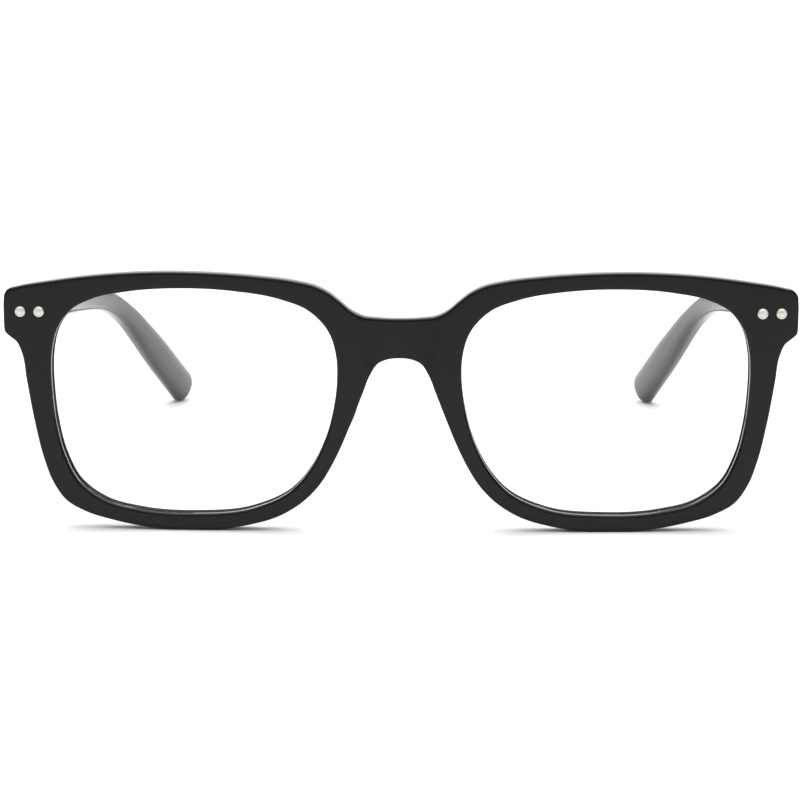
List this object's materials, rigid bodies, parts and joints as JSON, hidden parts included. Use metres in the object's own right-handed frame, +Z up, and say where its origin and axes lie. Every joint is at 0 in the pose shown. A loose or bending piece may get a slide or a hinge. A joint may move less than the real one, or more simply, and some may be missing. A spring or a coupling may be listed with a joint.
{
  "type": "blue light glasses",
  "caption": "Thick-rimmed black plastic glasses with clear blue-light lenses and temples that fold on riveted hinges.",
  "frame": {"origin": "on the table, under the middle of the glasses' box: they stand on the rim bottoms and the temple tips", "axes": "+X to the right of someone who faces the front, +Y back along the temples, +Z up"},
  "size_m": [0.141, 0.1388, 0.0466],
  "materials": {
    "black_acetate": "polished glossy black plastic with soft rounded edges",
    "clear_lens": "clear coated plastic lens, polished",
    "rivet_steel": "polished domed rivet heads, slightly satin",
    "hinge_steel": "satin stamped steel",
    "screw_steel": "turned steel with a slotted head",
    "core_steel": "drawn steel wire"
  },
  "bodies": {
    "front": {"frame_front": "black_acetate", "lens_left": "clear_lens", "nose_pad_left": "black_acetate", "front_hinge_left": "hinge_steel", "hinge_screw_left": "screw_steel", "front_rivet_left_inner": "rivet_steel", "front_rivet_left_outer": "rivet_steel", "lens_right": "clear_lens", "nose_pad_right": "black_acetate", "front_hinge_right": "hinge_steel", "hinge_screw_right": "screw_steel", "front_rivet_right_inner": "rivet_steel", "front_rivet_right_outer": "rivet_steel"},
    "temple_left_arm": {"temple_left": "black_acetate", "temple_core_left": "core_steel", "temple_hinge_left": "hinge_steel", "temple_rivet_left_front": "rivet_steel", "temple_rivet_left_rear": "rivet_steel"},
    "temple_right_arm": {"temple_right": "black_acetate", "temple_core_right": "core_steel", "temple_hinge_right": "hinge_steel", "temple_rivet_right_front": "rivet_steel", "temple_rivet_right_rear": "rivet_steel"}
  },
  "joints": [
    {"name": "temple_left_fold", "type": "hinge", "parent": "front", "child": "temple_left_arm", "pos_m": [-0.06295, -0.0617, 0.0393], "axis": [0, 0, -1], "range_deg": [0, 76]},
    {"name": "temple_right_fold", "type": "hinge", "parent": "front", "child": "temple_right_arm", "pos_m": [0.06295, -0.0617, 0.0393], "axis": [0, 0, 1], "range_deg": [0, 84]}
  ]
}
